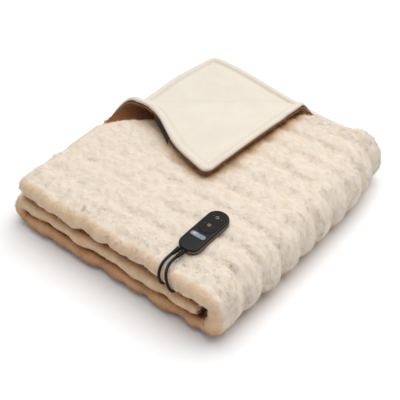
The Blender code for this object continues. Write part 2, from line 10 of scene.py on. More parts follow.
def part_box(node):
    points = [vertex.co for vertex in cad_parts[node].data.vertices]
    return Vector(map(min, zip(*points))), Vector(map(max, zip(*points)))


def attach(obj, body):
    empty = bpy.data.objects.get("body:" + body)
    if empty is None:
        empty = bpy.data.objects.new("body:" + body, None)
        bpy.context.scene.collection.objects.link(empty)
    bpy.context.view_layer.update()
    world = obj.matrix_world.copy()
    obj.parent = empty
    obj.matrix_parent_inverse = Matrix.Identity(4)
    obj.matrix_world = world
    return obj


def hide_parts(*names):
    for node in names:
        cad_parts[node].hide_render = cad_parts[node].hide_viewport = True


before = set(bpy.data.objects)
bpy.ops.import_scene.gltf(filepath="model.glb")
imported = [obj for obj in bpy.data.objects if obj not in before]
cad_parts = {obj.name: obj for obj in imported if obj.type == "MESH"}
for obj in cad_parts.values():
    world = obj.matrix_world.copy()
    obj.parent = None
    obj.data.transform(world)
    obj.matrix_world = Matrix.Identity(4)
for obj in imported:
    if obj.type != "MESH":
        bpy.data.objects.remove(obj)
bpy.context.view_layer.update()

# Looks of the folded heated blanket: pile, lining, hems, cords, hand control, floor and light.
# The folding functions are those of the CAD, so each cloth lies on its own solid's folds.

PLATE_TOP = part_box("key_plate")[1][2]
WINDOW_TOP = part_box("display_window")[1][2]

# ---- The folded cloth, metres ---------------------------------------------------------------
HALF_X = 0.231
HALF_Y = 0.2485
PILE = 0.013
PILE_PRESSED = 0.010
PILE_MIDDLE = 0.011
PILE_IN_FOLD = 0.0065
LINING = 0.002
SEAM_GAP = 0.0004
HALF_GAP = 0.0050
BOTTOM_LEVEL = PILE + HALF_GAP
MIDDLE_LEVEL = 0.0490
TOP_LEVEL = 0.0870
RIGHT_RADIUS = (TOP_LEVEL - BOTTOM_LEVEL) / 2
LEFT_RADIUS = (MIDDLE_LEVEL - BOTTOM_LEVEL) / 2
RIGHT_START = HALF_X - RIGHT_RADIUS - HALF_GAP - PILE
LEFT_START = -HALF_X + LEFT_RADIUS + HALF_GAP + PILE
TOP_HEM = -0.204
MIDDLE_END = 0.176
BACK_HEM = 0.243
FRONT_START = -HALF_Y + HALF_GAP + PILE
PLY_DEPTH = BACK_HEM - FRONT_START
NOSE_LENGTH = math.pi * HALF_GAP
RIB_COUNT = 10
RIB_PITCH = PLY_DEPTH / RIB_COUNT
FOLD_POINT = Vector((-0.1830, -0.0289))
FOLD_ANGLE = math.radians(45.2)
FOLD_ALONG = Vector((math.cos(FOLD_ANGLE), math.sin(FOLD_ANGLE)))
FOLD_OUT = Vector((-math.sin(FOLD_ANGLE), math.cos(FOLD_ANGLE)))
ROLL_RADIUS = 0.0135
ROLL_SLACK = 0.0017
ARCH_RISE = 0.013
ARCH_WIDTH = 0.085
ARCH_REACH = 0.105
CORNER_DRAG = Vector((-0.018, -0.039))
CORNER_REACH = 0.170
LIP_WIDTH = 0.110
LIP_PEAK = 0.035
LIP_REACH = 0.045
LIP_PULL = 0.017
LIP_RISE = 0.008
HEM_ROUNDING = 0.016
STRIPS = (
    # name, length, cells of the fur, cells of the lining
    ("top", RIGHT_START - TOP_HEM, 112, 96),
    ("right fold", math.pi * RIGHT_RADIUS, 34, 10),
    ("bottom", RIGHT_START - LEFT_START, 40, 12),
    ("left fold", math.pi * LEFT_RADIUS, 16, 8),
    ("middle", MIDDLE_END - LEFT_START, 44, 12),
)
TOP_LENGTH = STRIPS[0][1]
STRIP_STARTS = [sum(row[1] for row in STRIPS[:count]) for count in range(len(STRIPS) + 1)]
CLOTH_LENGTH = STRIP_STARTS[-1]
CLOTH_WIDTH = 2 * PLY_DEPTH + NOSE_LENGTH

# ---- Hems -----------------------------------------------------------------------------------
HEM_WIDTH = 0.0125
HEM_RISE = 0.0042
HEM_GROOVE = 0.0016
GROOVE_WIDTH = 0.0024

# ---- Ribs and puckers of the pile -----------------------------------------------------------
RIB_WANDER = 0.0085
RIB_DEPTH = 0.0022
RIB_DEPTH_MORE_AT_FOLD = 0.0068
PUCKER_SPACING = 0.058
PUCKER_LENGTH = 0.011
PUCKER_WIDTH = 0.0075
PUCKER_DEPTH = 0.0055

# ---- Painted shade over the pile: openness 1 in the open, less in hollows, where the colour is painted browner as shade ------
OPEN_REACH = 0.06
# Openness kept on the turned-back corner's underside and on the inner ply: painted shade under and between
# the layers.
TURNED_CORNER_PAINTED_SHADE_SHARE = 0.28
INNER_PLY_PAINTED_SHADE_SHARE = 0.65
# Openness taken off where the pile faces the front and low on the stack: painted shade on the front side and
# near the floor.
FRONT_PAINTED_SHADE = 0.26
LOW_PAINTED_SHADE = 0.20

# ---- Locks of pile --------------------------------------------------------------------------
EDGE_BAND = 0.030
WHOLE_LENGTH = (0.0, CLOTH_LENGTH)
BETWEEN_EDGES = (0.0, PLY_DEPTH - EDGE_BAND)
FRONT_EDGE = (PLY_DEPTH - EDGE_BAND, PLY_DEPTH + NOSE_LENGTH)
LOCKS = (
    # name, number, range of u, range of q, length, rise, seed
    ("top_locks", 46000, (0.0, TOP_LENGTH), BETWEEN_EDGES, 0.0062, 0.42, 11),
    ("fold_locks", 15000, (TOP_LENGTH, STRIP_STARTS[2]), BETWEEN_EDGES, 0.0068, 0.50, 12),
    ("front_locks", 13000, WHOLE_LENGTH, FRONT_EDGE, 0.0072, 0.48, 13),
    ("back_locks", 8000, WHOLE_LENGTH, (0.0, EDGE_BAND), 0.0080, 0.65, 14),
)
LOCK_HALF_WIDTH = 0.0008
LOCK_ROOT_DEPTH = 0.0030
# Added to the openness of each lock: painted light at its tip and painted shade at its foot.
LOCK_TIP_PAINTED_LIGHT = 0.05
LOCK_FOOT_PAINTED_SHADE = -0.07

# ---- Hand control ---------------------------------------------------------------------------
HANDSET_PLACE = Vector((0.1185, -0.1527, 0.1091))
HANDSET_TURN = math.radians(0.5)
HEAT_PLACE = 0.0120
POWER_PLACE = 0.0320
DISPLAY_PLACE = -0.0162

# ---- Cords ----------------------------------------------------------------------------------
CORD = 0.0048
BLANKET_LEAD = (
    (0.1076, -0.2186, 0.1126),
    (0.1062, -0.2310, 0.1100),
    (0.1068, -0.2428, 0.1052),
    (0.1092, -0.2508, 0.0966),
    (0.1116, -0.2526, 0.0870),
    (0.1128, -0.2492, 0.0772),
    (0.1125, -0.2395, 0.0706),
    (0.1095, -0.2250, 0.0694),
    (0.0960, -0.1900, 0.0704),
    (0.0740, -0.1520, 0.0708),
    (0.0440, -0.1200, 0.0711),
    (0.0100, -0.1000, 0.0713),
    (-0.0230, -0.0920, 0.0715),
)
MAINS_LEAD = (
    (0.1172, -0.2186, 0.1126),
    (0.1164, -0.2330, 0.1096),
    (0.1196, -0.2455, 0.1036),
    (0.1254, -0.2527, 0.0954),
    (0.1318, -0.2552, 0.0865),
    (0.1353, -0.2528, 0.0772),
    (0.1362, -0.2408, 0.0704),
    (0.1350, -0.2250, 0.0694),
    (0.1280, -0.1800, 0.0704),
    (0.1090, -0.1000, 0.0710),
    (0.0760, -0.0200, 0.0713),
    (0.0340, 0.0600, 0.0711),
    (-0.0120, 0.1350, 0.0704),
    (-0.0460, 0.1950, 0.0692),
    (-0.0620, 0.2400, 0.0686),
    (-0.0650, 0.2540, 0.0662),
    (-0.0680, 0.2640, 0.0580),
    (-0.0705, 0.2668, 0.0460),
    (-0.0735, 0.2640, 0.0330),
    (-0.0780, 0.2585, 0.0215),
    (-0.0860, 0.2515, 0.0120),
    (-0.0970, 0.2460, 0.0062),
    (-0.1100, 0.2430, 0.0042),
    (-0.1310, 0.2415, 0.0038),
)
MAINS_TAIL = (
    (-0.1690, 0.2415, 0.0086),
    (-0.1775, 0.2422, 0.0087),
    (-0.1862, 0.2448, 0.0088),
)
COIL_CENTRE = Vector((-0.150, 0.2705, 0.0038))
COIL_RADII = (0.0288, 0.0240, 0.0192)
TURN_POINTS = 16

# ---- View -----------------------------------------------------------------------------------
VIEW_AZIMUTH = math.radians(38.96)
VIEW_ELEVATION = math.radians(43.27)
VIEW_DISTANCE = 1.7564
VIEW_CENTRE = Vector((0.010, -0.008, 0.0))
VIEW_LENS = 90
VIEW_SENSOR = 36
VIEW_SHIFT = (-0.0223, 0.0151)

# ---- Light ----------------------------------------------------------------------------------
LAMP_PLACE = Vector((0.15, 0.32, 1.85))
LAMP_SIZE = 2.2
LAMP_POWER = 41.0
LAMP_COLOUR = (1.0, 0.99, 0.975)
SKY_STRENGTH = 0.45


def smooth_step(value):
    held = min(1.0, max(0.0, value))
    return held * held * (3 - 2 * held)


# ---- Folding the cloth ----------------------------------------------------------------------
def strip_place(u):
    """Middle of the doubled cloth at distance u from the top hem: x, z and the outward direction."""
    lengths = [row[1] for row in STRIPS]
    if u <= lengths[0]:
        return TOP_HEM + u, TOP_LEVEL, 0.0, 1.0
    u -= lengths[0]
    if u <= lengths[1]:
        turn = u / RIGHT_RADIUS
        out_x, out_z = math.sin(turn), math.cos(turn)
        middle = (TOP_LEVEL + BOTTOM_LEVEL) / 2
        return RIGHT_START + RIGHT_RADIUS * out_x, middle + RIGHT_RADIUS * out_z, out_x, out_z
    u -= lengths[1]
    if u <= lengths[2]:
        return RIGHT_START - u, BOTTOM_LEVEL, 0.0, -1.0
    u -= lengths[2]
    if u <= lengths[3]:
        turn = u / LEFT_RADIUS
        out_x, out_z = -math.sin(turn), -math.cos(turn)
        middle = (MIDDLE_LEVEL + BOTTOM_LEVEL) / 2
        return LEFT_START + LEFT_RADIUS * out_x, middle + LEFT_RADIUS * out_z, out_x, out_z
    u -= lengths[3]
    return LEFT_START + u, MIDDLE_LEVEL, 0.0, 1.0


def ply_place(q):
    """Across the doubled cloth at distance q from the outer back hem: y and distance outward."""
    if q <= PLY_DEPTH:
        return BACK_HEM - q, HALF_GAP
    q -= PLY_DEPTH
    if q <= NOSE_LENGTH:
        turn = q / HALF_GAP
        return FRONT_START - HALF_GAP * math.sin(turn), HALF_GAP * math.cos(turn)
    return FRONT_START + q - NOSE_LENGTH, -HALF_GAP


def fold_measures(u, q):
    """How far a point of the top layer lies beyond the turned-back corner's fold, and along it."""
    point = Vector((TOP_HEM + u, BACK_HEM - q)) - FOLD_POINT
    return point.dot(FOLD_OUT), point.dot(FOLD_ALONG)


def roll_radius(along):
    return ROLL_RADIUS + ARCH_RISE / 2 * math.exp(-((along / ARCH_WIDTH) ** 2))


def turned_corner(u, q):
    """Plan place and rise of a point on the turned-back corner."""
    beyond, along = fold_measures(u, q)
    base = FOLD_POINT + FOLD_ALONG * along
    radius = roll_radius(along)
    back = max(0.0, beyond - math.pi * radius)
    lip = math.exp(-((u / LIP_WIDTH) ** 2) - ((back - LIP_PEAK) / LIP_REACH) ** 2)
    lip *= smooth_step(beyond / (math.pi * radius))
    pull = Vector((0.0, LIP_PULL * lip))
    if back == 0:
        turn = beyond / radius
        plan = base + FOLD_OUT * (radius * math.sin(turn))
        return plan + pull, radius * (1 - math.cos(turn)) + LIP_RISE * lip
    flat_rise = 2 * ROLL_RADIUS
    rise = flat_rise + 2 * (radius - ROLL_RADIUS) * (1 - smooth_step(back / ARCH_REACH))
    drag = CORNER_DRAG * (back / CORNER_REACH) ** 1.3
    return base - FOLD_OUT * back + drag + pull, rise + LIP_RISE * lip


def loft(x, y):
    """How much higher the stack stands at a place, as a share of its height."""
    across = max(0.0, 1 - (x / HALF_X) ** 2)
    along = max(0.0, 1 - (y / HALF_Y) ** 2)
    crown = 0.045 * across**0.5 * along**0.5
    waves = 0.012 * math.sin(21 * x + 1.3) * math.sin(17 * y + 0.4) + 0.008 * math.sin(38 * x - 24 * y)
    return 1 + crown + waves


def lean(x, y, u, q):
    """Sideways unevenness of the folds and hems."""
    front = math.exp(-(((y + HALF_Y) / 0.06) ** 2))
    back = math.exp(-(((y - HALF_Y) / 0.07) ** 2))
    right = smooth_step((x - 0.14) / 0.09)
    left_hem = math.exp(-((u / 0.05) ** 2))
    lower_strips = smooth_step((u - TOP_LENGTH - 0.05) / 0.20)
    shoulder = right * (1 - smooth_step((u - TOP_LENGTH) / 0.05))
    hem_pull = 0.010 * lower_strips + 0.012 * shoulder
    if q < PLY_DEPTH:
        top_layer = smooth_step((TOP_LENGTH + 0.05 - u) / 0.10)
        hem_pull += top_layer * (0.015 + 0.013 * smooth_step((0.19 - x) / 0.11))
    else:
        second_ply = smooth_step((TOP_LENGTH + 0.05 - u) / 0.10)
        hem_pull += second_ply * (0.022 * smooth_step((u - 0.05) / 0.25) - 0.013)
    shift_y = front * (0.0022 * math.sin(31 * x + 19 * u) + 0.0012 * math.sin(83 * x + 40 * u))
    shift_y -= back * hem_pull
    shift_x = left_hem * (0.012 * smooth_step((y - 0.14) / 0.11) - 0.004 * front)
    shift_x -= right * (0.002 * (1 - math.cos(13 * y + 0.5)) + 0.024 * back)
    return shift_x, shift_y


def rounded_corner(u, q):
    """Draws the cloth's square corners in to round ones."""
    along = min(u, CLOTH_LENGTH - u)
    across = min(q, CLOTH_WIDTH - q)
    if max(along, across) >= HEM_ROUNDING:
        return u, q
    a = 1 - along / HEM_ROUNDING
    b = 1 - across / HEM_ROUNDING
    along = HEM_ROUNDING * (1 - a * math.sqrt(1 - b * b / 2))
    across = HEM_ROUNDING * (1 - b * math.sqrt(1 - a * a / 2))
    return (
        along if u < CLOTH_LENGTH / 2 else CLOTH_LENGTH - along,
        across if q < CLOTH_WIDTH / 2 else CLOTH_WIDTH - across,
    )


def folded_place(u, q):
    """Place of the backing, in the folded stack, for a point of the flat cloth with square corners."""
    y, outward = ply_place(q)
    x, z, out_x, out_z = strip_place(u)
    x += outward * out_x
    z += outward * out_z
    if u < TOP_LENGTH and q < PLY_DEPTH and fold_measures(u, q)[0] > 0:
        plan, rise = turned_corner(u, q)
        x, y = plan
        z += rise
    shift_x, shift_y = lean(x, y, u, q)
    z = PILE + (z - PILE) * loft(x, y)
    return Vector((x + shift_x, y + shift_y, z))


def backing_place(u, q):
    """Place of the cloth's backing, in the folded stack, for a point of the flat cloth."""
    return folded_place(*rounded_corner(u, q))


def facing(u, q):
    """Direction from the backing out through the pile."""
    u, q = rounded_corner(u, q)
    step = 0.0008
    along = folded_place(u + step, q) - folded_place(u - step, q)
    across = folded_place(u, q + step) - folded_place(u, q - step)
    return across.cross(along).normalized()


def hem_distance(u, q):
    return min(q, u, CLOTH_LENGTH - u, CLOTH_WIDTH - q)


def is_turned_back(u, q):
    return u < TOP_LENGTH and q < PLY_DEPTH and fold_measures(u, q)[0] > 0


# ---- The pile -------------------------------------------------------------------------------
def ruffle(u, q, size, seed):
    """Even noise from -1 to 1 over the flat cloth, with lumps of the given size."""
    return noise.noise(Vector((u / size, q / size, seed)))


def rib_depth(u, q):
    """How deep the brushed ribs and their small puckers sink into the pile."""
    towards_fold = smooth_step((u - 0.10) / 0.26)
    if u > STRIP_STARTS[2]:
        towards_fold = 0.5
    wandering = q + RIB_WANDER * ruffle(u, q, 0.085, 3.0) * (1 - 0.4 * towards_fold)
    row = round(wandering / RIB_PITCH)
    off_groove = wandering / RIB_PITCH - row
    groove = (0.5 + 0.5 * math.cos(2 * math.pi * off_groove)) ** 2.4
    uneven = 0.65 + 0.5 * ruffle(u, q, 0.060, 8.0)
    depth = groove * uneven * (RIB_DEPTH + RIB_DEPTH_MORE_AT_FOLD * towards_fold)
    slot = u / PUCKER_SPACING + 0.5 * (row % 2) + 0.25 * noise.noise(Vector((row * 7.3, 0.5, 1.5)))
    off_pucker = (slot - round(slot)) * PUCKER_SPACING
    strength = 0.5 + 0.5 * noise.noise(Vector((row * 3.7, round(slot) * 5.1, 2.5)))
    pucker = math.exp(-((off_pucker / PUCKER_LENGTH) ** 2) - (off_groove * RIB_PITCH / PUCKER_WIDTH) ** 2)
    return depth + PUCKER_DEPTH * pucker * strength * (1 - 0.6 * towards_fold)


def pile_height(u, q):
    """Height of the pile over the backing, ribbed and puckered outside and pressed in the folds."""
    if q > PLY_DEPTH + 0.9 * NOSE_LENGTH:
        in_fold = smooth_step(1 - abs(u - (STRIP_STARTS[1] + STRIP_STARTS[2]) / 2) / 0.11)
        height = PILE_PRESSED + (PILE_IN_FOLD - PILE_PRESSED) * smooth_step(2 * in_fold)
        relief = 0.35
    elif is_turned_back(u, q):
        height = PILE_PRESSED - 0.0045 * smooth_step((0.16 - u) / 0.12)
        relief = 0.35
    elif u >= STRIP_STARTS[3]:
        height = PILE_MIDDLE
        relief = 0.5
    else:
        height = PILE
        relief = 1.0
    front = smooth_step((q - PLY_DEPTH + 0.05) / 0.04)
    height -= relief * rib_depth(u, q) * (1 - 0.6 * front)
    height += relief * (0.0028 + 0.0030 * front) * ruffle(u, q, 0.034, 0.0)
    height += relief * 0.0030 * front * ruffle(u, q, 0.016, 7.0)
    height += relief * 0.0012 * ruffle(u, q, 0.013, 5.0)
    height += 0.0007 * ruffle(u, q, 0.006, 9.0)
    return max(0.004, height * (1 - 0.42 * math.exp(-hem_distance(u, q) / 0.004)))


def roll_slack(u, q):
    """The lining stands a little off the backing where the corner rolls over."""
    if u > TOP_LENGTH or q > PLY_DEPTH:
        return 0.0
    rolled = fold_measures(u, q)[0] / (math.pi * ROLL_RADIUS)
    return ROLL_SLACK * smooth_step(1 + 5 * rolled) * smooth_step(5 * (2.0 - rolled))


def hem_roll(u, q):
    """The lining's turned hem: a soft roll along the free edges with a stitched groove beside it."""
    edge = hem_distance(u, q)
    roll = 0.0
    if edge < HEM_WIDTH:
        across = 1 - abs(2 * edge / HEM_WIDTH - 0.9)
        roll = HEM_RISE * math.sqrt(max(0.0, min(1.0, across * 1.25)))
    groove = HEM_GROOVE * math.exp(-(((edge - HEM_WIDTH) / GROOVE_WIDTH) ** 2))
    return roll * (1 + 0.12 * ruffle(u, q, 0.018, 4.0)) - groove


def lines(breaks):
    """Even divisions between break points: breaks holds (length, cells) in order."""
    found = [0.0]
    for length, cells in breaks:
        start = found[-1]
        found += [start + length * step / cells for step in range(1, cells + 1)]
    return found


def add_item(name, mesh):
    """Object for a mesh, smooth shaded and linked to the scene."""
    mesh.shade_smooth()
    item = bpy.data.objects.new(name, mesh)
    bpy.context.scene.collection.objects.link(item)
    return item


def grid_sheet(name, across, along, low_side, high_side):
    """Closed sheet over a grid of the flat cloth, between two functions that place its two faces."""
    rows = len(across)
    columns = len(along)
    flat = [(u, q) for u in across for q in along]
    places = [low_side(u, q) for u, q in flat] + [high_side(u, q) for u, q in flat]
    half = rows * columns
    faces = []
    for row in range(rows - 1):
        for column in range(columns - 1):
            a = row * columns + column
            b, c, d = a + 1, a + columns + 1, a + columns
            faces.append((a, d, c, b))
            faces.append((half + a, half + b, half + c, half + d))
    border = list(range(columns))
    border += [row * columns + columns - 1 for row in range(1, rows)]
    border += [(rows - 1) * columns + column for column in range(columns - 2, -1, -1)]
    border += [row * columns for row in range(rows - 2, 0, -1)]
    for a, b in zip(border, border[1:] + border[:1]):
        faces.append((a, b, half + b, half + a))
    mesh = bpy.data.meshes.new(name)
    mesh.from_pydata(places, [], faces)
    layer = mesh.uv_layers.new(name="flat_cloth")
    for loop in mesh.loops:
        layer.data[loop.index].uv = flat[loop.vertex_index % half]
    return add_item(name, mesh)


def lifted(place):
    return Vector((place.x, place.y, max(place.z, 0.0004)))


def build_fur():
    across = lines([(row[1], row[2]) for row in STRIPS])
    along = lines([(PLY_DEPTH - 0.05, 128), (0.05, 18), (NOSE_LENGTH, 14), (PLY_DEPTH, 26)])

    def backing(u, q):
        return backing_place(u, q) + facing(u, q) * 0.0002

    def tips(u, q):
        return lifted(backing_place(u, q) + facing(u, q) * pile_height(u, q))

    fur = grid_sheet("fur_cloth", across, along, backing, tips)
    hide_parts("fur_panel")
    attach(fur, "root")
    places = np.array([vert.co[:] for vert in fur.data.vertices]).reshape(2, len(across), len(along), 3)
    # Painted shade over the pile, kept as an attribute of the cloth.
    painted_shade_grid = painted_shade_openness(fur.data, places, across, along)
    mark_painted_shade(fur.data, np.stack([painted_shade_grid, painted_shade_grid]).ravel())
    return fur, np.array(across), np.array(along), places, painted_shade_grid


def painted_shade_openness(mesh, places, across, along):
    """How open the space is over each place of the pile, within a reach, from rays among the folds, cut
    under the turned-back corner, on the inner ply, facing the front and low down: the painted shade of the
    pile.
    """
    corners = [vert.co for vert in mesh.vertices]
    tree = BVHTree.FromPolygons(corners, [face.vertices for face in mesh.polygons])
    rays = [(0.0, 0.0)] + [(0.55, turn * math.pi / 2) for turn in range(4)]
    rays += [(1.05, (turn + 0.5) * math.pi / 3) for turn in range(6)]
    found = np.ones(places.shape[1:3])
    for row in range(places.shape[1]):
        for column in range(places.shape[2]):
            root = Vector(places[0, row, column])
            top = Vector(places[1, row, column])
            out = (top - root).normalized()
            side = out.orthogonal().normalized()
            third = out.cross(side)
            start = top + out * 0.002
            total = 0.0
            for tilt, turn in rays:
                level = side * math.cos(turn) + third * math.sin(turn)
                aim = out * math.cos(tilt) + level * math.sin(tilt)
                reach = tree.ray_cast(start, aim, OPEN_REACH)[3] or OPEN_REACH
                if aim.z < 0:
                    reach = min(reach, start.z / -aim.z)
                total += reach / OPEN_REACH
            # Painted shade low on the stack and on the side facing the front.
            low = 1 - smooth_step((top.z - 0.010) / 0.055)
            faces_front = smooth_step(-out.y * 1.4)
            # Painted shade under the turned-back corner and on the inner ply.
            if is_turned_back(across[row], along[column]):
                total *= TURNED_CORNER_PAINTED_SHADE_SHARE
            elif along[column] > PLY_DEPTH + NOSE_LENGTH:
                total *= INNER_PLY_PAINTED_SHADE_SHARE
            painted_shade_loss = FRONT_PAINTED_SHADE * faces_front + LOW_PAINTED_SHADE * low * (0.4 + 0.6 * faces_front)
            found[row, column] = total / len(rays) * (1 - painted_shade_loss)
    for _ in range(2):
        padded = np.pad(found, 1, mode="edge")
        beside_rows = padded[:-2, 1:-1] + padded[2:, 1:-1]
        beside_columns = padded[1:-1, :-2] + padded[1:-1, 2:]
        found = (2 * found + beside_rows + beside_columns) / 6
    found[:3] = found[3]
    found[:, :3] = found[:, 3:4]
    return found


def mark_painted_shade(mesh, values):
    layer = mesh.attributes.new("painted_shade_openness", "FLOAT", "POINT")
    layer.data.foreach_set("value", values.astype(np.float32))


def between(grid, row, column, down, right):
    """Values of a grid at places within its cells."""
    near = grid[row, column] * (1 - right) + grid[row, column + 1] * right
    far = grid[row + 1, column] * (1 - right) + grid[row + 1, column + 1] * right
    return near * (1 - down) + far * down


def waves_over(u, q, rng, size):
    """Smooth wandering value over the flat cloth, about -1 to 1."""
    total = np.zeros(len(u))
    for _ in range(7):
        turn = rng.uniform(0, 2 * math.pi)
        pitch = size * rng.uniform(0.6, 1.7)
        start = rng.uniform(0, 6.3)
        total += np.sin((u * math.cos(turn) + q * math.sin(turn)) * 2 * math.pi / pitch + start)
    return total / 3.0


def build_locks(name, number, u_range, q_range, length, rise, seed, across, along, places, painted_shade_grid):
    """Tapered locks of pile, each a slim closed pyramid rooted in the fur and laid over by its clump."""
    rng = np.random.default_rng(seed)
    u = rng.uniform(*u_range, number)
    q = rng.uniform(*q_range, number)
    row = np.clip(np.searchsorted(across, u) - 1, 0, len(across) - 2)
    column = np.clip(np.searchsorted(along, q) - 1, 0, len(along) - 2)
    down = ((u - across[row]) / (across[row + 1] - across[row]))[:, None]
    right = ((q - along[column]) / (along[column + 1] - along[column]))[:, None]
    root = between(places[0], row, column, down, right)
    top = between(places[1], row, column, down, right)
    out = top - root
    height = np.linalg.norm(out, axis=1)[:, None]
    out /= height
    lay_u = places[1][row + 1, column] - places[1][row, column]
    lay_q = places[1][row, column + 1] - places[1][row, column]
    lay_u /= np.linalg.norm(lay_u, axis=1)[:, None]
    lay_q /= np.linalg.norm(lay_q, axis=1)[:, None]
    swing = waves_over(u, q, rng, 0.022) + 0.5 * waves_over(u, q, rng, 0.009)
    drift = waves_over(u, q, rng, 0.024) + 0.5 * waves_over(u, q, rng, 0.010)
    swing += rng.normal(0, 0.25, number)
    drift += rng.normal(0, 0.25, number) + 0.35
    stretch = length * rng.uniform(0.65, 1.25, number)[:, None]
    aim = out * rise + lay_u * swing[:, None] * 0.75 + lay_q * drift[:, None] * 0.75
    aim /= np.linalg.norm(aim, axis=1)[:, None]
    foot = root + out * (height - LOCK_ROOT_DEPTH)
    tip = foot + aim * stretch
    side = np.cross(aim, out + 0.01)
    side /= np.linalg.norm(side, axis=1)[:, None]
    third = np.cross(aim, side)
    wide = (LOCK_HALF_WIDTH * rng.uniform(0.8, 1.3, number))[:, None]
    turns = [2 * math.pi * corner / 3 for corner in range(3)]
    base = [foot + (side * math.cos(turn) + third * math.sin(turn)) * wide for turn in turns]
    points = np.stack(base + [tip], axis=1)
    points[:, :, 2] = np.maximum(points[:, :, 2], 0.0003 + 0.0002 * np.arange(4))
    corners = np.array([(0, 1, 3), (1, 2, 3), (2, 0, 3), (2, 1, 0)])
    faces = (corners[None] + 4 * np.arange(number)[:, None, None]).reshape(-1, 3)
    mesh = bpy.data.meshes.new(name)
    mesh.from_pydata(points.reshape(-1, 3), [], faces)
    layer = mesh.uv_layers.new(name="flat_cloth")
    flat = np.stack([u, q], axis=1)[faces.reshape(-1) // 4]
    flat += 0.0006 * (faces.reshape(-1) % 4)[:, None]
    layer.data.foreach_set("uv", flat.astype(np.float32).ravel())
    # Painted shade carried from the cloth to the locks, with painted light at the tips and painted shade at
    # the feet.
    share = between(painted_shade_grid[:, :, None], row, column, down, right)
    mark_painted_shade(mesh, (share + np.array([3 * [LOCK_FOOT_PAINTED_SHADE] + [LOCK_TIP_PAINTED_LIGHT]])).ravel())
    item = add_item(name, mesh)
    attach(item, "root")
    return item


def build_lining():
    hem = 0.028
    shown = 0.30
    across = lines([(hem, 20), (TOP_LENGTH - hem, 90)] + [(row[1], row[3]) for row in STRIPS[1:]])
    outer_ply = [(hem, 20), (shown, 82), (PLY_DEPTH - hem - shown, 12)]
    inner_ply = [(PLY_DEPTH - shown, 12), (shown - hem, 54), (hem, 18)]
    along = lines(outer_ply + [(NOSE_LENGTH, 8)] + inner_ply)

    def beneath(u, q):
        return backing_place(u, q) - facing(u, q) * (SEAM_GAP + roll_slack(u, q))

    def plush(u, q):
        depth = SEAM_GAP + roll_slack(u, q) + LINING + hem_roll(u, q)
        depth += 0.0004 * ruffle(u, q, 0.045, 6.0)
        return backing_place(u, q) - facing(u, q) * depth

    lining = grid_sheet("lining_cloth", across, along, plush, beneath)
    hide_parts("lining_panel")
    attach(lining, "root")
    return lining


# ---- Cords ----------------------------------------------------------------------------------
def smooth_route(points, step):
    """Evenly spaced points on the smooth curve (centripetal Catmull-Rom) through a route's points."""
    route = [Vector(point) for point in points]
    route = [2 * route[0] - route[1]] + route + [2 * route[-1] - route[-2]]
    fine = []
    for a, b, c, d in zip(route, route[1:], route[2:], route[3:]):
        t1 = (b - a).length ** 0.5
        t2 = t1 + (c - b).length ** 0.5
        t3 = t2 + (d - c).length ** 0.5
        for part in range(24):
            t = t1 + (t2 - t1) * part / 24
            ab = a * ((t1 - t) / t1) + b * (t / t1)
            bc = b * ((t2 - t) / (t2 - t1)) + c * ((t - t1) / (t2 - t1))
            cd = c * ((t3 - t) / (t3 - t2)) + d * ((t - t2) / (t3 - t2))
            abc = ab * ((t2 - t) / t2) + bc * (t / t2)
            bcd = bc * ((t3 - t) / (t3 - t1)) + cd * ((t - t1) / (t3 - t1))
            fine.append(abc * ((t2 - t) / (t2 - t1)) + bcd * ((t - t1) / (t2 - t1)))
    fine.append(route[-2])
    lengths = [0.0]
    for a, b in zip(fine, fine[1:]):
        lengths.append(lengths[-1] + (b - a).length)
    count = max(2, round(lengths[-1] / step))
    even = []
    index = 0
    for number in range(count + 1):
        wanted = lengths[-1] * number / count
        while index < len(lengths) - 2 and lengths[index + 1] < wanted:
            index += 1
        share = (wanted - lengths[index]) / (lengths[index + 1] - lengths[index])
        even.append(fine[index].lerp(fine[index + 1], min(1.0, share)))
    return even


def coil_turns():
    """Two flat layers of turns: inwards on the floor, then outwards on top of them."""
    tracks = [(radius, 0.0) for radius in COIL_RADII] + [(radius, CORD) for radius in reversed(COIL_RADII)]
    tracks.append(tracks[-1])
    points = []
    for turn, (here, after) in enumerate(zip(tracks, tracks[1:])):
        for step in range(TURN_POINTS):
            share = step / TURN_POINTS
            change = smooth_step((share - 0.60) / 0.40)
            radius = here[0] + (after[0] - here[0]) * change
            height = here[1] + (after[1] - here[1]) * change
            angle = math.radians(-90) - 2 * math.pi * (turn + share)
            points.append(COIL_CENTRE + Vector((radius * math.cos(angle), radius * math.sin(angle), height)))
    return points


def swept(name, points, radius, resolution=4, cyclic=False):
    """Round tube along points, made a closed mesh."""
    curve = bpy.data.curves.new(name, "CURVE")
    curve.dimensions = "3D"
    curve.bevel_depth = radius
    curve.bevel_resolution = resolution
    curve.use_fill_caps = True
    line = curve.splines.new("POLY")
    line.points.add(len(points) - 1)
    for point, place in zip(line.points, points):
        point.co = (*place, 1)
    line.use_cyclic_u = cyclic
    shape = bpy.data.objects.new(name, curve)
    bpy.context.scene.collection.objects.link(shape)
    bpy.context.view_layer.update()
    settled = shape.evaluated_get(bpy.context.evaluated_depsgraph_get())
    mesh = bpy.data.meshes.new_from_object(settled)
    bpy.data.objects.remove(shape, do_unlink=True)
    form = bmesh.new()
    form.from_mesh(mesh)
    bmesh.ops.remove_doubles(form, verts=form.verts, dist=1e-6)
    bmesh.ops.recalc_face_normals(form, faces=form.faces)
    form.to_mesh(mesh)
    form.free()
    item = add_item(name, mesh)
    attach(item, "root")
    return item


def build_cords():
    control_points = smooth_route(BLANKET_LEAD, CORD)
    control = swept("blanket_cord", control_points, CORD / 2)
    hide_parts("blanket_lead")
    mains_points = smooth_route(MAINS_LEAD + tuple(coil_turns()) + MAINS_TAIL, CORD * 0.8)
    mains = swept("mains_cord", mains_points, CORD / 2)
    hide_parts("mains_lead", "mains_coil", "mains_tail")
    return [control, mains]


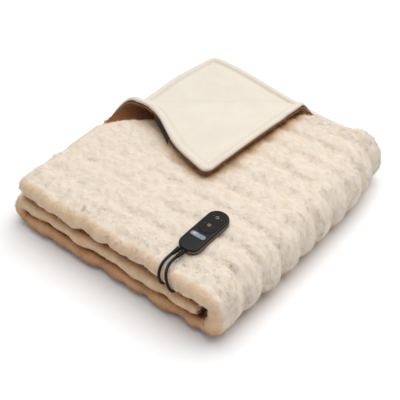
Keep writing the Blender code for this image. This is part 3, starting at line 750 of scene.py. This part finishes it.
# ---- Hand control ---------------------------------------------------------------------------
def control_place(x, y, z):
    """Place of a point given on the hand control's own axes."""
    turn = HANDSET_TURN
    across = x * math.cos(turn) - y * math.sin(turn)
    along = x * math.sin(turn) + y * math.cos(turn)
    return Vector((HANDSET_PLACE.x + across, HANDSET_PLACE.y + along, z))


def joined(name, pieces):
    """One object from several meshes, each kept as its own closed shell."""
    form = bmesh.new()
    for piece in pieces:
        form.from_mesh(piece.data)
        bpy.data.objects.remove(piece, do_unlink=True)
    mesh = bpy.data.meshes.new(name)
    form.to_mesh(mesh)
    form.free()
    item = add_item(name, mesh)
    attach(item, "root")
    return item


def build_icons():
    """Raised marks: heat waves and a power ring on the key plate, level bars in the window."""
    top = PLATE_TOP + 0.00005
    marks = []
    for column in (-0.0022, 0.0, 0.0022):
        wave = []
        for step in range(9):
            sway = 0.0004 * math.sin(step * math.pi / 4)
            wave.append(control_place(column + sway, HEAT_PLACE - 0.0026 + step * 0.00065, top))
        marks.append(swept("wave", wave, 0.00042, 2))
    foot = [control_place(-0.0030 + 0.0015 * step, HEAT_PLACE - 0.0036, top) for step in range(5)]
    marks.append(swept("foot", foot, 0.00028, 2))
    ring = []
    for step in range(15):
        turn = math.radians(120 + 300 * step / 14)
        ring.append(control_place(0.0026 * math.cos(turn), POWER_PLACE + 0.0026 * math.sin(turn), top))
    marks.append(swept("ring", ring, 0.00042, 2))
    bar = [control_place(0.0, POWER_PLACE + 0.0008 + 0.0009 * step, top) for step in range(4)]
    marks.append(swept("bar", bar, 0.00042, 2))
    for place in (HEAT_PLACE, POWER_PLACE):
        for side in (-1, 1):
            dash = [control_place(side * (0.0078 + 0.0007 * step), place, top) for step in range(3)]
            marks.append(swept("dash", dash, 0.00025, 2))
    gold = joined("gold_marks", marks)
    level = WINDOW_TOP + 0.00005
    bars = []
    for number, tall in enumerate((0.0016, 0.0026, 0.0036)):
        across = -0.0010 + 0.0022 * number
        base = DISPLAY_PLACE - 0.0018
        line = [control_place(across, base + tall * step / 3, level) for step in range(4)]
        bars.append(swept("level", line, 0.00055, 2))
    teal = joined("level_bars", bars)
    side = []
    for y in (-0.0014, 0.0002, 0.0018):
        along = DISPLAY_PLACE + y
        line = [control_place(-0.0096 + 0.0016 * step, along, level) for step in range(4)]
        side.append(swept("side", line, 0.00036, 2))
    white = joined("side_bars", side)
    return gold, teal, white


# ---- Materials ------------------------------------------------------------------------------
def new_material(name, colour, roughness, metallic=0.0):
    made = bpy.data.materials.new(name)
    made.use_nodes = True
    shader = made.node_tree.nodes["Principled BSDF"]
    shader.inputs["Base Color"].default_value = (*colour, 1)
    shader.inputs["Roughness"].default_value = roughness
    shader.inputs["Metallic"].default_value = metallic
    return made, made.node_tree, shader


def add_node(tree, kind, **settings):
    node = tree.nodes.new(kind)
    for name, value in settings.items():
        if name in node.inputs:
            node.inputs[name].default_value = value
        else:
            setattr(node, name, value)
    return node


def ramp(tree, source, stops):
    """Colour ramp over a value: stops holds (position, colour)."""
    node = tree.nodes.new("ShaderNodeValToRGB")
    elements = node.color_ramp.elements
    while len(elements) < len(stops):
        elements.new(0.5)
    for element, (position, colour) in zip(elements, stops):
        element.position = position
        element.color = (*colour, 1)
    tree.links.new(source, node.inputs["Fac"])
    return node.outputs["Color"]


def stretched(tree, along, across):
    """Flat-cloth coordinates divided by the size of a detail each way."""
    place = add_node(tree, "ShaderNodeUVMap", uv_map="flat_cloth")
    mapping = tree.nodes.new("ShaderNodeMapping")
    mapping.inputs["Scale"].default_value = (1 / along, 1 / across, 1)
    tree.links.new(place.outputs["UV"], mapping.inputs["Vector"])
    return mapping.outputs["Vector"]


def noise_at(tree, vector, detail, roughness=0.55, distortion=0.0):
    node = tree.nodes.new("ShaderNodeTexNoise")
    node.inputs["Scale"].default_value = 1.0
    node.inputs["Detail"].default_value = detail
    node.inputs["Roughness"].default_value = roughness
    node.inputs["Distortion"].default_value = distortion
    tree.links.new(vector, node.inputs["Vector"])
    return node.outputs["Fac"]


def blend_colour(tree, kind, factor, first, second):
    """Mix of two colours: on this node they are inputs 6 and 7, and the result is output 2."""
    node = tree.nodes.new("ShaderNodeMix")
    node.data_type = "RGBA"
    node.blend_type = kind
    if isinstance(factor, float):
        node.inputs["Factor"].default_value = factor
    else:
        tree.links.new(factor, node.inputs["Factor"])
    for socket, value in ((node.inputs[6], first), (node.inputs[7], second)):
        if isinstance(value, tuple):
            socket.default_value = (*value, 1)
        else:
            tree.links.new(value, socket)
    return node.outputs[2]


def bump(tree, shader, height, distance, strength=1.0):
    node = tree.nodes.new("ShaderNodeBump")
    node.inputs["Distance"].default_value = distance
    node.inputs["Strength"].default_value = strength
    tree.links.new(height, node.inputs["Height"])
    before = shader.inputs["Normal"].links
    if before:
        tree.links.new(before[0].from_socket, node.inputs["Normal"])
    tree.links.new(node.outputs["Normal"], shader.inputs["Normal"])


def fur_material(name, grained):
    """Cream pile with painted shade: it goes browner as the openness falls. The cloth is grained and the
    locks are not.
    """
    made, tree, shader = new_material(name, (0.8, 0.68, 0.54), 0.9)
    hairs = noise_at(tree, stretched(tree, 0.0045, 0.0012), 3.0, 0.6, 0.4)
    clumps = noise_at(tree, stretched(tree, 0.016, 0.010), 3.0, 0.6, 0.5)
    # Painted shade: the ramp turns the pile browner where the openness is low.
    hollow = add_node(tree, "ShaderNodeAttribute", attribute_name="painted_shade_openness")
    shade = ramp(
        tree,
        hollow.outputs["Fac"],
        [
            (0.16, (0.20, 0.080, 0.030)),
            (0.44, (0.46, 0.210, 0.080)),
            (0.70, (0.72, 0.520, 0.340)),
            (0.94, (0.77, 0.69, 0.595)),
        ],
    )
    tint = ramp(tree, clumps, [(0.36, (0.91, 0.845, 0.77)), (0.58, (1.0, 1.0, 1.0))])
    grain = ramp(tree, hairs, [(0.28, (0.90, 0.85, 0.80)), (0.55, (1.0, 1.0, 1.0))])
    toned = blend_colour(tree, "MULTIPLY", 0.75, shade, tint)
    tree.links.new(blend_colour(tree, "MULTIPLY", 0.70, toned, grain), shader.inputs["Base Color"])
    shader.inputs["Sheen Weight"].default_value = 0.15
    shader.inputs["Sheen Roughness"].default_value = 0.55
    shader.inputs["Sheen Tint"].default_value = (1.0, 0.93, 0.86, 1)
    shader.inputs["Specular IOR Level"].default_value = 0.15
    shader.inputs["Subsurface Weight"].default_value = 0.08 if grained else 0.6
    shader.inputs["Subsurface Radius"].default_value = (1.0, 0.72, 0.52)
    shader.inputs["Subsurface Scale"].default_value = 0.003
    if grained:
        bump(tree, shader, clumps, 0.0034, 0.7)
        bump(tree, shader, hairs, 0.0014, 0.8)
    return made


def lining_material():
    """Short dense plush, warm off-white, with a fine nap and painted shade in its hem grooves and creases.
    """
    made, tree, shader = new_material("cream_plush", (0.87, 0.80, 0.71), 0.85)
    nap = noise_at(tree, stretched(tree, 0.0016, 0.0011), 2.0, 0.6)
    clouds = noise_at(tree, stretched(tree, 0.055, 0.040), 3.0, 0.5, 0.3)
    # Painted shade: browner where the occlusion finds grooves and creases nearby.
    hollow = add_node(tree, "ShaderNodeAmbientOcclusion", samples=8, Distance=0.014)
    shade = ramp(
        tree,
        hollow.outputs["AO"],
        [(0.25, (0.34, 0.22, 0.14)), (0.55, (0.60, 0.51, 0.41)), (0.85, (0.685, 0.635, 0.557))],
    )
    tint = ramp(tree, clouds, [(0.35, (0.965, 0.955, 0.94)), (0.62, (1.0, 1.0, 1.0))])
    tree.links.new(blend_colour(tree, "MULTIPLY", 1.0, shade, tint), shader.inputs["Base Color"])
    shader.inputs["Sheen Weight"].default_value = 0.2
    shader.inputs["Sheen Roughness"].default_value = 0.45
    shader.inputs["Specular IOR Level"].default_value = 0.12
    bump(tree, shader, nap, 0.0004, 0.6)
    return made


def object_noise(tree, size, detail):
    place = tree.nodes.new("ShaderNodeTexCoord")
    mapping = tree.nodes.new("ShaderNodeMapping")
    mapping.inputs["Scale"].default_value = (1 / size, 1 / size, 1 / size)
    tree.links.new(place.outputs["Object"], mapping.inputs["Vector"])
    return noise_at(tree, mapping.outputs["Vector"], detail)


def moulded(name, dark, light, roughness, grain, depth, metallic=0.0, coat=0.0):
    """Moulded or drawn surface: faint colour variation and a fine grain."""
    made, tree, shader = new_material(name, light, roughness, metallic)
    patches = object_noise(tree, 0.012, 2.0)
    tree.links.new(ramp(tree, patches, [(0.3, dark), (0.7, light)]), shader.inputs["Base Color"])
    shader.inputs["Specular IOR Level"].default_value = 0.25 if metallic == 0 else 0.5
    shader.inputs["Coat Weight"].default_value = coat
    shader.inputs["Coat Roughness"].default_value = 0.25
    bump(tree, shader, object_noise(tree, grain, 2.0), depth, 0.5)
    return made


def paint_nodes():
    shell = moulded("black_shell", (0.006, 0.006, 0.006), (0.009, 0.009, 0.009), 0.34, 0.0005, 0.00003)
    plate = moulded("black_plate", (0.005, 0.005, 0.005), (0.008, 0.007, 0.008), 0.26, 0.0009, 0.00002)
    brass = moulded("gold_line", (0.50, 0.34, 0.14), (0.66, 0.48, 0.24), 0.34, 0.0006, 0.00003, metallic=1.0)
    window = moulded("smoky_window", (0.16, 0.17, 0.20), (0.26, 0.27, 0.32), 0.18, 0.0040, 0.00001, coat=0.5)
    rubber = moulded("black_rubber", (0.005, 0.005, 0.005), (0.010, 0.009, 0.009), 0.46, 0.0007, 0.00004)
    pins = moulded("plug_metal", (0.60, 0.52, 0.34), (0.72, 0.64, 0.44), 0.30, 0.0008, 0.00002, metallic=1.0)
    woven = moulded("black_label", (0.012, 0.012, 0.012), (0.035, 0.033, 0.032), 0.80, 0.0007, 0.0002)
    teal = moulded("teal_glow", (0.05, 0.42, 0.42), (0.10, 0.62, 0.60), 0.40, 0.0006, 0.00001)
    pale = moulded("pale_glow", (0.60, 0.62, 0.66), (0.78, 0.80, 0.84), 0.40, 0.0006, 0.00001)
    finishes = {
        "handset_base": shell,
        "handset_cover": shell,
        "handset_trim": brass,
        "key_plate": plate,
        "display_window": window,
        "strain_relief_left": rubber,
        "strain_relief_right": rubber,
        "coil_tie": rubber,
        "plug_body": rubber,
        "plug_pin_left": pins,
        "plug_pin_right": pins,
        "seam_label": woven,
    }
    for node, finish in finishes.items():
        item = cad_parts[node]
        for slot in item.material_slots:
            slot.material = finish
    return {"rubber": rubber, "gold": brass, "teal": teal, "pale": pale}


# ---- Stage ----------------------------------------------------------------------------------
def build_stage():
    bpy.ops.mesh.primitive_plane_add(size=12, location=(0, 0, 0))
    floor = bpy.context.object
    floor.name = "studio_floor"
    made, tree, shader = new_material("pale_floor", (0.94, 0.955, 0.975), 0.9)
    shader.inputs["Specular IOR Level"].default_value = 0.05
    floor.data.materials.append(made)
    bpy.context.scene.view_settings.view_transform = "Standard"

    world = bpy.data.worlds.new("studio")
    bpy.context.scene.world = world
    world.use_nodes = True
    backdrop = world.node_tree.nodes["Background"]
    backdrop.inputs["Color"].default_value = (1.0, 1.0, 1.0, 1)
    backdrop.inputs["Strength"].default_value = SKY_STRENGTH

    lamp = bpy.data.lights.new("overhead", "AREA")
    lamp.size = LAMP_SIZE
    lamp.energy = LAMP_POWER
    lamp.color = LAMP_COLOUR
    item = bpy.data.objects.new("overhead", lamp)
    item.location = LAMP_PLACE
    item.rotation_euler = (-LAMP_PLACE).to_track_quat("-Z", "Y").to_euler()
    bpy.context.scene.collection.objects.link(item)


def build_camera():
    level = math.cos(VIEW_ELEVATION)
    back = Vector(
        (math.sin(VIEW_AZIMUTH) * level, -math.cos(VIEW_AZIMUTH) * level, math.sin(VIEW_ELEVATION))
    )
    lens = bpy.data.cameras.new("camera")
    lens.lens = VIEW_LENS
    lens.sensor_width = VIEW_SENSOR
    lens.shift_x, lens.shift_y = VIEW_SHIFT
    camera = bpy.data.objects.new("camera", lens)
    camera.location = VIEW_CENTRE + back * VIEW_DISTANCE
    camera.rotation_euler = (-back).to_track_quat("-Z", "Y").to_euler()
    bpy.context.scene.collection.objects.link(camera)
    bpy.context.scene.camera = camera


build_camera()
build_stage()
finishes = paint_nodes()
cords = build_cords()
for cord in cords:
    cord.data.materials.append(finishes["rubber"])
for icon, finish in zip(build_icons(), ("gold", "teal", "pale")):
    icon.data.materials.append(finishes[finish])
fur, *fur_grid = build_fur()
fur.data.materials.append(fur_material("beige_fur", True))
lock_finish = fur_material("beige_locks", False)
locks = [build_locks(*row, *fur_grid) for row in LOCKS]
for item in locks:
    item.data.materials.append(lock_finish)
lining = build_lining()
lining.data.materials.append(lining_material())
